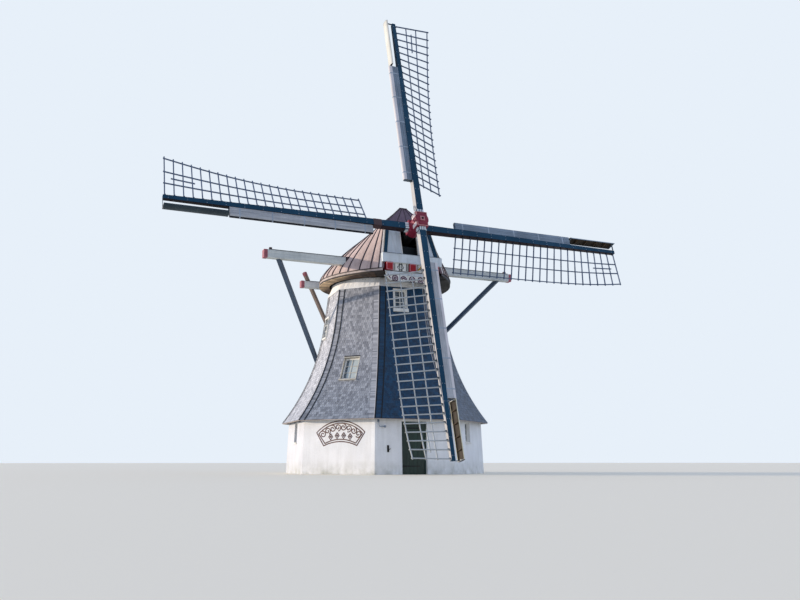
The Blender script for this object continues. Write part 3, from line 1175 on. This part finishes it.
piece("tail_pole_timber", [timber(POLE_FOOT, POLE_TOP, 0.26, 0.26, 0.02)], DARK_TIMBER, "cap",
      stands_for=["tail_pole"])
long_braces = [timber(LONG_TOP * [side, 1, 1], pole_side(side, LONG_FOOT_Z), 0.17, 0.17)
               for side in (-1, 1)]
piece("brace_timbers", long_braces, DARK_TIMBER, "cap", stands_for=["braces"])
short_braces = [timber(SHORT_TOP * [side, 1, 1], pole_side(side, SHORT_FOOT_Z), 0.15, 0.15)
                for side in (-1, 1)]
piece("short_brace_timbers", short_braces,
      finish("brown_timber", "8f7e74", "554840", 0.65, patches=0.4, runs=0.3, grain=0.4, dark="665850"),
      "cap")
stub = unit(SHORT_TOP - pole_side(1, SHORT_FOOT_Z)) * 0.16
stubs = [timber((SHORT_TOP - stub) * [side, 1, 1], (SHORT_TOP + stub * 0.02) * [side, 1, 1], 0.158, 0.158)
         for side in (-1, 1)]
piece("brace_stubs", stubs, BEAM_ENDS, "cap")
BANDS = ((0.75, 0.285), (1.35, 0.285), (LONG_FOOT_Z, 0.30), (SHORT_FOOT_Z, 0.30), (7.9, 0.285))
bands = [timber(pole_side(0, z - 0.04), pole_side(0, z + 0.04), w, w) for z, w in BANDS]
bands += [swept([[x, DRUM_Y, DRUM_Z], [x + 0.03, DRUM_Y, DRUM_Z]], round_section(DRUM_R, 20),
                (0.0, 0.0, 1.0)) for x in (-0.30, -0.02, 0.20)]
piece("pole_iron", bands, IRON, "cap")
dress(finish("winch_wood", "2c3e4f", "1a2530", 0.55, grain=0.3, dark="1a2833", along="x"), "tail_winch")

# Windshaft and poll end: a cast iron shaft lies in the cap, and its square head holds the two
# stocks. The head is painted dusty red, with a plate on its front, and white wedges fix the stocks.

SHAFT_Z, FRONT_AT, STOCK_GAP = 9.08, 3.84, 0.55
REAR_AT = FRONT_AT - STOCK_GAP
BOX_W, BOX_L, BOX_D = 0.25, 0.33, 0.21


def on_shaft(points):
    """Rotor frame to the mill's frame: right, up the sails' plane, forward along the shaft."""
    return leaning(TILT, 0.0, SHAFT_Z, *np.moveaxis(np.asarray(points, float), -1, 0))


def on_sail(k, points):
    """Sail frame to the mill's frame: to the trailing side, out along the sail, forward. Sail 0 is
    the top one and the others follow clockwise, seen from the front."""
    x, y, z = np.moveaxis(np.asarray(points, float), -1, 0)
    a = -k * math.pi / 2
    c, d = math.cos(a), math.sin(a)
    return on_shaft(np.stack([x * c - y * d, x * d + y * c, z + (REAR_AT if k % 2 else FRONT_AT)], -1))


dress(IRON, "windshaft")
CRIMSON = finish("poll_crimson", "8c2a40", "4a1c28", 0.5, patches=0.45, runs=0.3, specks=0.2, specular=0.3)
heads = [ranges(-BOX_W, BOX_W, -BOX_L, BOX_L, FRONT_AT - BOX_D, FRONT_AT + BOX_D),
         ranges(-BOX_L, BOX_L, -BOX_W, BOX_W, REAR_AT - BOX_D, REAR_AT + BOX_D)]
barrel = swept(on_shaft([[0, 0, z] for z in (2.99, 3.02, 3.5, 4.05, 4.08)]), round_section(0.29, 32),
               (1.0, 0.0, 0.0), [0.95, 1, 1, 1, 0.94])
piece("poll_head", [blocks(on_shaft(c)) for c in heads] + [barrel], CRIMSON, "rotor",
      smooth=35, bevel=0.022, stands_for=["poll_end"])
plates = [ranges(-0.10, 0.10, -0.10, 0.10, 4.08, 4.105),
          ranges([-0.235, 0.205], [-0.205, 0.235], -0.30, 0.30, FRONT_AT + 0.20, FRONT_AT + 0.235),
          ranges(-0.235, 0.235, [-0.315, 0.285], [-0.285, 0.315], FRONT_AT + 0.20, FRONT_AT + 0.235)]
piece("poll_plate", [blocks(on_shaft(c)) for c in plates], finish("poll_pink", "c98384", "7c4a4c", 0.5),
      "rotor", bevel=0.006)
cheeks = ranges([-0.262, 0.248], [-0.248, 0.262], -0.29, 0.29, FRONT_AT - 0.17, FRONT_AT + 0.17)
piece("poll_cheeks", [blocks(on_shaft(cheeks))],
      finish("poll_white", "efdcd6", "a0807c", 0.5, patches=0.3), "rotor", bevel=0.006)
boss = swept(on_shaft([[0, 0, 4.10], [0, 0, 4.13], [0, 0, 4.14]]), round_section(0.045, 16),
             (1.0, 0.0, 0.0), [1, 1, 0.7])
piece("poll_boss", [boss], IRON, "rotor", smooth=40)


def wedges(k):
    """Three wedges in front of the stock and one each side, driven in where it leaves the head."""
    x = np.array([-0.10, 0.0, 0.10])
    front = ranges(x - 0.036, x + 0.036, 0.31, 0.47, 0.145, 0.185)
    front[:, [2, 3, 6, 7], 2] -= [[0.0, 0.0, 0.025, 0.025]]
    side = ranges([-0.185, 0.14], [-0.14, 0.185], 0.31, 0.45, -0.09, 0.09)
    return [blocks(on_sail(k, c)) for c in (front, side)]


piece("poll_wedges", [part for k in range(4) for part in wedges(k)], WHITE_BOARDS, "rotor",
      bevel=0.004)

# Stocks: two tapered steel boxes, 20 m long, one before the other, painted dark teal on the front
# and back. Boards on their sides are pale on the front one and maroon on the rear one, and round
# bolt heads run along both.

STEEL = finish("teal_steel", TEAL, "0a2634", 0.6, patches=0.35, runs=0.2, specks=0.12, specular=0.2)
dress(STEEL, "front_stock", "rear_stock")
SAIL_L, ROOT_HALF, TIP_HALF = 10.0, (0.14, 0.15), (0.075, 0.08)
SIDE_FROM, SIDE_TO, BOLT_STEP = 0.48, 9.98, 0.6975


def stock_half(y):
    """Half-width and half-depth of a stock at distance y from the shaft."""
    share = np.abs(np.asarray(y, float)) / SAIL_L
    return [root + (tip - root) * share for root, tip in zip(ROOT_HALF, TIP_HALF)]


def side_board(k, side, end):
    """A thin board on one side of the stock, from the head out to a distance from the shaft."""
    corners = []
    for lift in (-0.002, 0.008):
        for y, way in ((SIDE_FROM, -1), (SIDE_FROM, 1), (end, 1), (end, -1)):
            w, d = stock_half(y)
            corners.append([side * (w + lift), y, way * (d - 0.006)])
    return blocks(on_sail(k, np.array(corners)[None]))


pale = [side_board(k, side, end) for k, end in ((0, 1.86), (2, SIDE_TO)) for side in (-1, 1)]
piece("stock_sides", pale,
      finish("stock_side_paint", "b4b1ae", "8c8a88", 0.55, patches=0.25, runs=0.2, specks=0.2), "rotor")
dark = [side_board(k, side, SIDE_TO) for k in (1, 3) for side in (-1, 1)]
piece("rear_stock_sides", dark, finish("stock_maroon", "24121a", "14090e", 0.6, specular=0.3), "rotor")


def bolts(k):
    """Bolt heads in pairs every 0.7 m along the front of a stock."""
    y = np.repeat(np.arange(0.75, 9.9, BOLT_STEP), 2)
    w, d = stock_half(y)
    x = np.where(np.arange(len(y)) % 2, 0.55, -0.55) * w
    parts = []
    for px, py, pz in zip(x, y, d):
        path = on_sail(k, [[px, py, pz - 0.002], [px, py, pz + 0.010], [px, py, pz + 0.016]])
        parts.append(swept(path, round_section(0.016, 8), (1.0, 0.2, 0.0), [1, 1, 0.6]))
    return parts


bolt_heads = [part for k in range(4) for part in bolts(k)]
piece("stock_bolts", bolt_heads, GALVANISED, "rotor", smooth=50)
sleeve = swept(on_sail(3, [[0, y, 0] for y in (1.50, 1.52, 1.83, 1.85)]), chamfered(0.29, 0.31),
               on_shaft([0, 0, 1]) - on_shaft([0, 0, 0]), [0.96, 1, 1, 0.96])
piece("stock_sleeve", [sleeve], MAROON, "rotor")

# Lattices: wooden bars through the stock with three long bars behind them, painted blue grey and
# worn to pale wood on the lowest sail. The sail twists towards the shaft. Wedges hold each bar in
# the stock.

BARS_PAINT = finish("lattice_paint", "52637c", "8492a2", 0.6, patches=0.3, runs=0.15, specks=0.2,
                    grain=0.2, dark="37475e", along="x", specular=0.3)
BARS_WORN = finish("lattice_paint_worn", "b4b6b2", "d2d4d0", 0.6, patches=0.3, runs=0.15, specks=0.3,
                   grain=0.2, dark="7c8288", along="x", specular=0.3)
dress(BARS_PAINT, "lattice_top", "lattice_right", "lattice_left")
dress(BARS_WORN, "lattice_bottom")
BAR_ROWS = ((1.87, 24), (1.90, 24), (2.24, 23), (2.04, 24))
BAR_Y = [np.linspace(first, 9.93, bars) for first, bars in BAR_ROWS]
FREE_FROM = 7.75


def bar_wedges(k):
    """A wedge under each bar on the stock's trailing side, and the bar's end on the other. The ends
    under the leading board stay inside it."""
    y = BAR_Y[k]
    w = stock_half(y)[0]
    under = ranges(w - 0.01, w + 0.075, y - 0.042, y - 0.018, -0.028, 0.028)
    y, w = y[y > FREE_FROM], w[y > FREE_FROM]
    ends = ranges(-w - 0.016, -w + 0.01, y - 0.018, y + 0.018, -0.018, 0.018)
    return [blocks(on_sail(k, c)) for c in (under, ends)]


def bar_marks(k):
    """Dark ends of the bars' wedges across the stock's pale sides, a pair at each bar."""
    y = BAR_Y[k]
    w = stock_half(y)[0]
    marks = [ranges(side * w - 0.004, side * w + 0.014, y - 0.030, y + 0.030, -0.040, 0.040)
             for side in (-1, 1)]
    return [blocks(on_sail(k, c)) for c in marks]


WEDGE_WOOD = finish("wedge_wood", "2b3c4a", "161f27", 0.6)
piece("bar_wedges", [part for k in range(4) for part in bar_wedges(k)], WEDGE_WOOD, "rotor")
piece("bar_marks", bar_marks(2), WEDGE_WOOD, "rotor")

# Leading boards: a hollow box of planks round a curved nose on each sail's leading side, with iron
# straps round it. Two are weathered pale grey and two blue grey. The upright sails have a white
# nose, the others a dark one.

BOARD_FROM, BOARD_TO, BOARD_REACH, BOARD_HALF, SKIN = 1.88, 7.60, 0.50, 0.085, 0.02
PLANK_JOINTS = (0.17, 0.25, 0.33)
GREY_PLANKS = finish("grey_planks", "c6c6c4", "6f7278", 0.7, patches=0.35, runs=0.15, specks=0.3,
                     grain=0.75, dark="7c8086")
STEEL_PLANKS = finish("steel_planks", "8a99a6", "525e68", 0.7, patches=0.4, runs=0.15, specks=0.3,
                      grain=0.7, dark="4c5a68")


def nose_outline(half, notches=False):
    """The open section of a leading board: back, round nose, front, at one half thickness, with a
    small notch at each plank joint."""
    back = [(-0.09, -half)]
    for x in PLANK_JOINTS if notches else ():
        back += [(-x + 0.004, -half), (-x, -half + 0.007), (-x - 0.004, -half)]
    a = np.radians(np.linspace(-90, -270, 13))
    nose = [(-BOARD_REACH + BOARD_HALF + half * math.cos(t), half * math.sin(t)) for t in a]
    return np.array(back + nose + [(x, -z) for x, z in back[::-1]])


def along_sail(k, outer, inner, stations):
    """A skin between two outlines, running along sail k through its stations."""
    section = np.concatenate([outer, inner[::-1]])
    return loft([on_sail(k, np.insert(section, 1, y, axis=1)) for y in stations])


def leading_board(k):
    """The box's skin, and plank ribs that close it a little inside its two ends and in the middle."""
    half = BOARD_HALF - SKIN
    stations = np.linspace(BOARD_FROM, BOARD_TO, 9)
    skin = along_sail(k, nose_outline(BOARD_HALF, True), nose_outline(half), stations)
    y = np.array([BOARD_FROM + 0.05, 4.7, BOARD_TO - 0.07])
    return [skin, blocks(on_sail(k, ranges(-BOARD_REACH + SKIN + 0.03, -0.09, y, y + 0.02, -half, half)))]


def strap(k, y):
    """A band of iron round the board's outside."""
    return along_sail(k, nose_outline(BOARD_HALF + 0.004), nose_outline(BOARD_HALF - 0.001), (y, y + 0.05))


def nose_coat(k, last, flat=0.0):
    """Paint on the board's nose from the back round to an angle, and a flat width beyond it."""
    a = np.radians(np.linspace(-95, last, 13))
    centre = BOARD_HALF - BOARD_REACH
    rows = []
    for r in (BOARD_HALF + 0.003, BOARD_HALF - 0.001):
        x, z = centre + r * np.cos(a), r * np.sin(a)
        if flat:
            x, z = np.append(x, centre + flat), np.append(z, r)
        rows.append(np.stack([x, z], -1))
    return along_sail(k, *rows, (BOARD_FROM, BOARD_TO))


piece("leading_planks", leading_board(2) + leading_board(3), GREY_PLANKS, "rotor", smooth=30,
      stands_for=["leading_boards"])
piece("leading_planks_steel", leading_board(0) + leading_board(1), STEEL_PLANKS, "rotor",
      smooth=30)
piece("white_noses", [nose_coat(k, -270, 0.05) for k in (0, 2)],
      finish("nose_white", "e2dcda", "9c948e", 0.6, patches=0.3, runs=0.2, specks=0.2, grain=0.2), "rotor",
      smooth=40)
piece("dark_noses", [nose_coat(k, -228) for k in (1, 3)],
      finish("nose_dark", "151a24", "0b0e14", 0.6, specular=0.2), "rotor", smooth=40)
straps = [strap(k, y) for k in range(4) for y in np.linspace(2.2, 7.2, 5)]
piece("board_straps", straps, GALVANISED, "rotor", smooth=30)

# Flaps: curved painted sheets that stand open at the sail tips as air brakes, each in its own worn
# colour. Ribs stiffen their brown hollow side, and dark plates close their ends. They turn on pins
# in arms on the stocks.

CREAM_SHEET = finish("cream_sheet", "d8d5c8", "7f7a70", 0.5, patches=0.35, runs=0.3, specks=0.25)
DARK_PLATES = finish("dark_plates", "2a2c30", "17181b", 0.5, patches=0.4, metallic=0.2)
dress(finish("teal_arms", TEAL, "0a2634", 0.4), "flap_brackets")
FLAP_FROM, FLAP_TO, FLAP_AXIS, FLAP_HALF, FLAP_DEPTH = 7.64, 9.99, 0.34, 0.22, 0.10
OPEN = math.radians(85)


def on_flap(k, u, y, v):
    """Flap frame at rest to the mill's frame: u across the flap, y along the sail, v into its back."""
    u, y, v = np.broadcast_arrays(u, y, v)
    x = u * math.cos(OPEN) - v * math.sin(OPEN) - FLAP_AXIS
    z = -u * math.sin(OPEN) - v * math.cos(OPEN)
    return on_sail(k, np.stack([x, y, z], -1).astype(float))


def flap_rib(k, y, thick=0.012, inset=0.018):
    """A rib across the hollow of a flap: the half ellipse inside its sheet."""
    a = np.linspace(0, math.pi, 13)
    u, v = (FLAP_HALF - inset) * np.cos(a), (FLAP_DEPTH - inset) * np.sin(a)
    return loft([on_flap(k, u, y, v), on_flap(k, u, y + thick, v)])


def flap_lining(k):
    """The brown hollow side of a flap: a coat 3 mm thick inside its sheet, between the end plates."""
    a = np.linspace(0, math.pi, 17)
    arcs = [np.stack([(FLAP_HALF - inset) * np.cos(a), (FLAP_DEPTH - inset) * np.sin(a)])
            for inset in (0.0155, 0.0185)]
    u, v = np.concatenate([arcs[0], arcs[1][:, ::-1]], axis=1)
    return loft([on_flap(k, u, y, v) for y in (FLAP_FROM + 0.021, FLAP_TO - 0.021)])


RIMS = finish("flap_rims_cream", "e9dfb4", "a8986c", 0.5)
LINING = finish("flap_lining", "3e352b", "16130f", 0.7, patches=0.6, runs=0.5, specks=0.4,
                specular=0.25)
SHEETS = {"top": CREAM_SHEET, "bottom": CREAM_SHEET,
          "right": finish("flap_blue_grey", "8798a6", "5c6872", 0.5, patches=0.4, runs=0.3),
          "left": finish("flap_dark_teal", "2a3c46", "141f26", 0.5, patches=0.4, runs=0.3, specular=0.3)}
for k, name in enumerate(("top", "right", "bottom", "left")):
    dress(SHEETS[name], "flap_" + name)
    piece("flap_lining_" + name, [flap_lining(k)], LINING, "flap_" + name, smooth=40)
    ribs = [flap_rib(k, y) for y in np.linspace(FLAP_FROM + 0.4, FLAP_TO - 0.42, 4)]
    rims = [swept(on_flap(k, side * (FLAP_HALF - 0.006), np.array([FLAP_FROM, FLAP_TO]), 0.0),
                  round_section(0.010, 8), (0.3, 0.2, 0.9)) for side in (-1, 1)]
    piece("flap_ribs_" + name, ribs, INNER_TIMBER, "flap_" + name)
    piece("flap_rims_" + name, rims, RIMS if k == 2 else SHEETS[name], "flap_" + name,
          smooth=40)
    ends = [flap_rib(k, y, 0.003, -0.003) for y in (FLAP_FROM - 0.003, FLAP_TO)]
    piece("flap_ends_" + name, ends, DARK_PLATES, "flap_" + name)

# Setting: a pale floor and backdrop, a low sun from the left and a bluish sky, and the camera, to
# the left of the mill's front and near the ground.

scene = bpy.context.scene
scene.view_settings.view_transform = "Standard"


def seen_directly(tree):
    """1 for rays from the camera, or through gloss and glass, and 0 for light on the object."""
    path = add_node(tree, "LightPath")
    share = path.outputs["Is Camera Ray"]
    for ray in ("Is Glossy Ray", "Is Transmission Ray"):
        share = sums(tree, share, path.outputs[ray], "MAXIMUM")
    return share


def sky(background=(0.80, 0.87, 0.95), light=(0.50, 0.62, 0.90)):
    world = bpy.data.worlds.new("sky")
    world.use_nodes = True
    tree = world.node_tree
    shade = tree.nodes["Background"]
    colour = mixed(tree, seen_directly(tree), (*light, 1.0), (*background, 1.0))
    tree.links.new(colour, shade.inputs["Color"])
    scene.world = world


def floor(reach=400.0, colour=(0.93, 0.83, 0.64, 1.0)):
    """A level floor. Its colour is plain, so that it keeps the mill's shadow."""
    mesh = bpy.data.meshes.new("floor")
    corners = [(-reach, -reach, -0.002), (reach, -reach, -0.002), (reach, reach, -0.002),
               (-reach, reach, -0.002)]
    mesh.from_pydata(corners, [], [(0, 1, 2, 3)])
    material = bpy.data.materials.new("floor")
    material.use_nodes = True
    tree = material.node_tree
    connect(tree, tree.nodes["Principled BSDF"], {"Base Color": colour, "Roughness": 0.9,
                                                  "Specular IOR Level": 0.1})
    mesh.materials.append(material)
    made = bpy.data.objects.new("floor", mesh)
    scene.collection.objects.link(made)


def sun(azimuth=-118, elevation=8.5, strength=3.7, colour=(1.0, 0.87, 0.73), width=1.2):
    """A low warm sun, behind the mill to its left. Its azimuth is counted from -Y towards +X."""
    light = bpy.data.lights.new("sun", "SUN")
    light.energy = strength
    light.color = colour
    light.angle = math.radians(width)
    lamp = bpy.data.objects.new("sun", light)
    lamp.rotation_euler = (math.radians(90 - elevation), 0.0, math.radians(azimuth))
    scene.collection.objects.link(lamp)


def camera(place=(-14.1116, -33.6081, 0.48), towards=(-0.4045, 0.9145), pitch=4.94, focal=37.74,
           shift=0.112):
    """Lens and shift match the photograph's frame of 800 by 600 and its level horizon."""
    lens = bpy.data.cameras.new("camera")
    lens.sensor_width = 36.0
    lens.lens = focal
    lens.shift_y = shift
    lens.clip_end = 1000.0
    made = bpy.data.objects.new("camera", lens)
    made.location = place
    made.rotation_euler = (math.radians(90 + pitch), 0.0, math.atan2(*towards))
    scene.collection.objects.link(made)
    scene.camera = made


sky()
floor()
sun()
camera()
